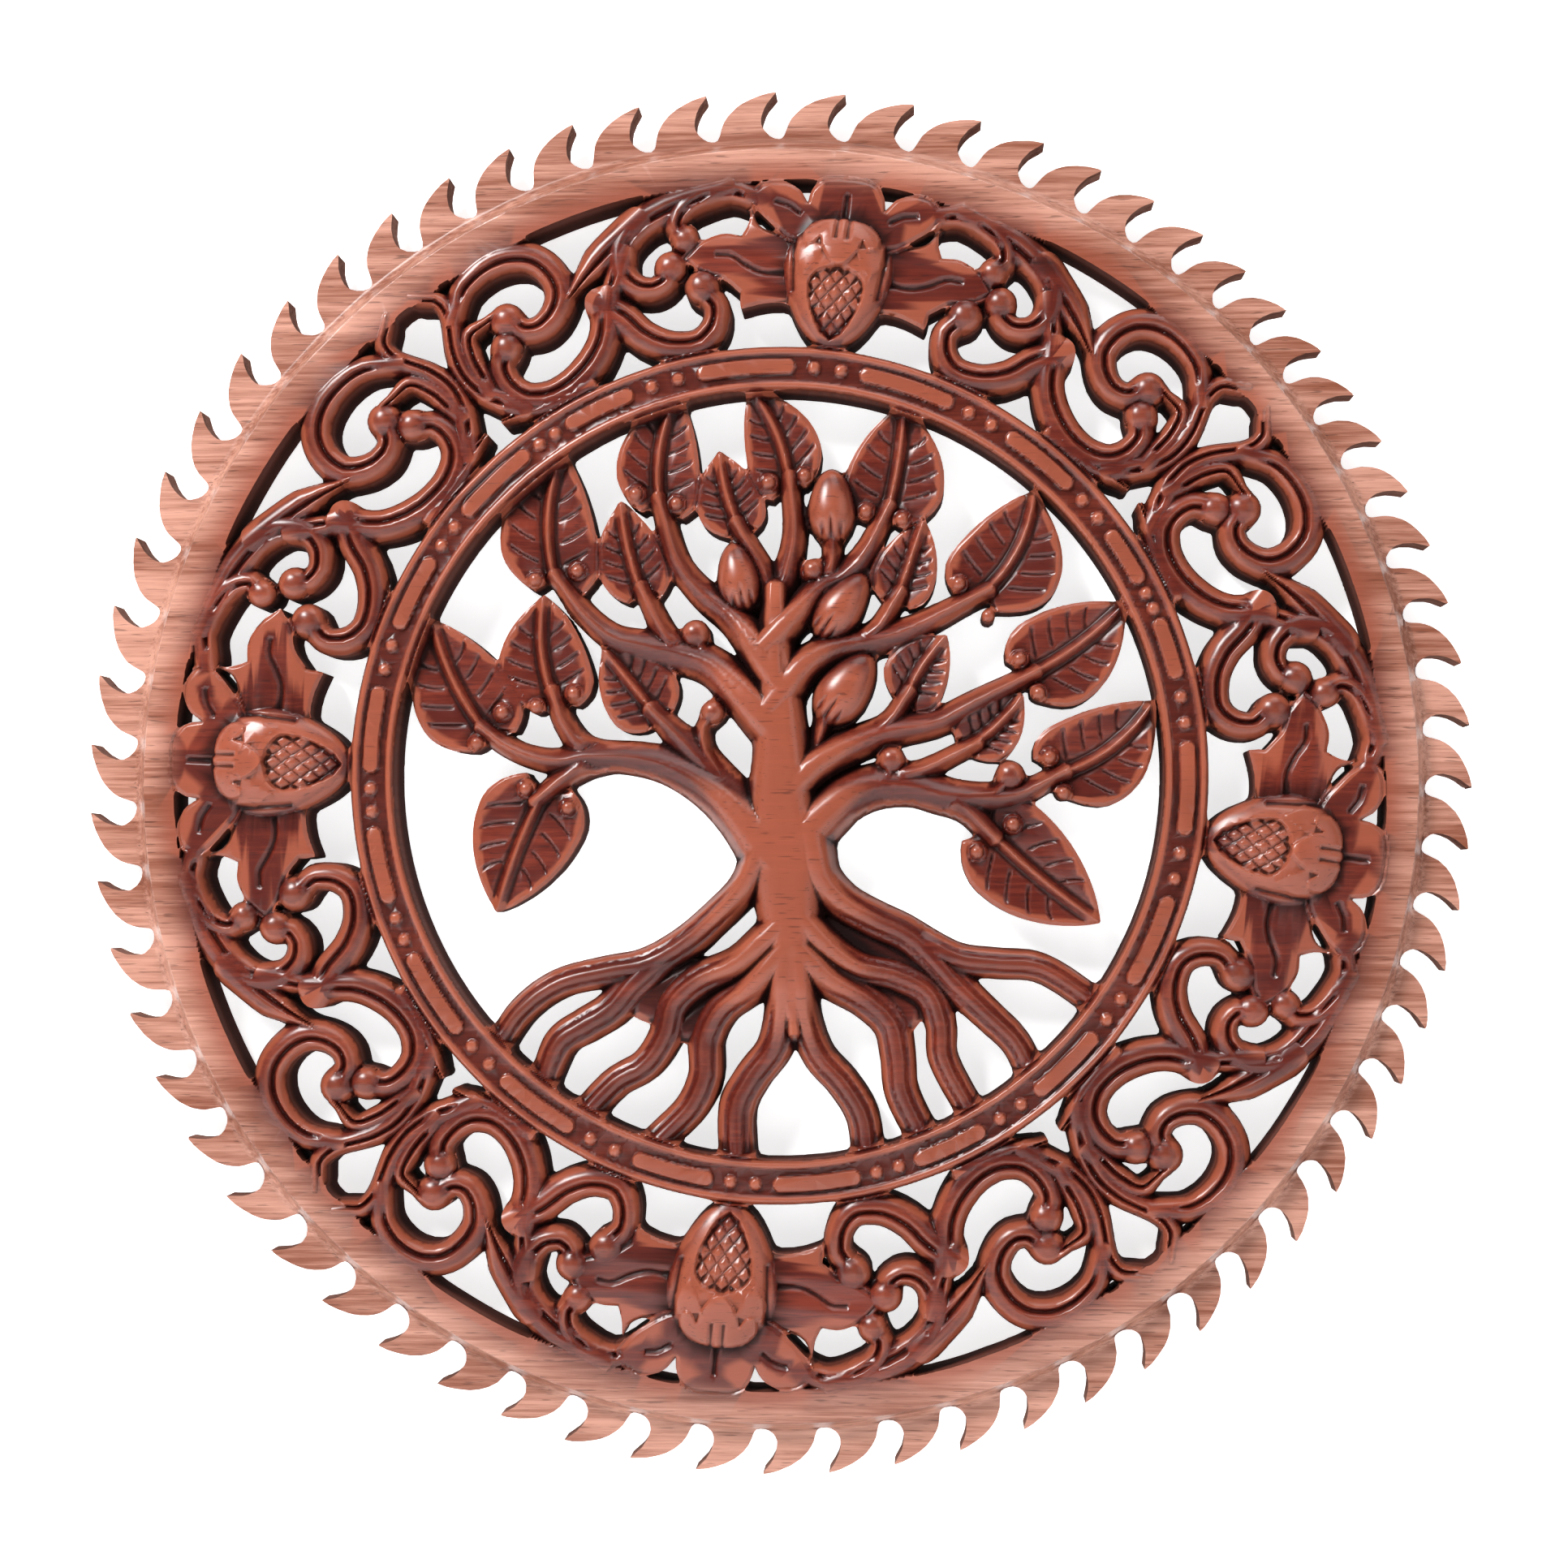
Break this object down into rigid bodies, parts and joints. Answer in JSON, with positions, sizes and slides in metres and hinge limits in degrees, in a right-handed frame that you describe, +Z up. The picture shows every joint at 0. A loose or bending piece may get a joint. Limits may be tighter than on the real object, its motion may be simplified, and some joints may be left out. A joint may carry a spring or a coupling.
{
  "type": "carved wall panel",
  "caption": "Round pierced wall panel carved from one wooden board: a leafy tree with spreading roots in a beaded ring, framed by flower scrolls, a plain rim and a toothed edge.",
  "frame": {"origin": "on the flat back, at the centre of the plain rim", "axes": "+Z up along the tree, +X to the right seen from the front, +Y out of the back towards the wall, so the carved front faces -Y"},
  "size_m": [0.4048, 0.021, 0.405],
  "materials": {
    "wood": "reddish brown stained hardwood with a satin varnish, darker in the cuts"
  },
  "bodies": {
    "root": {"carved_panel": "wood"}
  },
  "joints": []
}
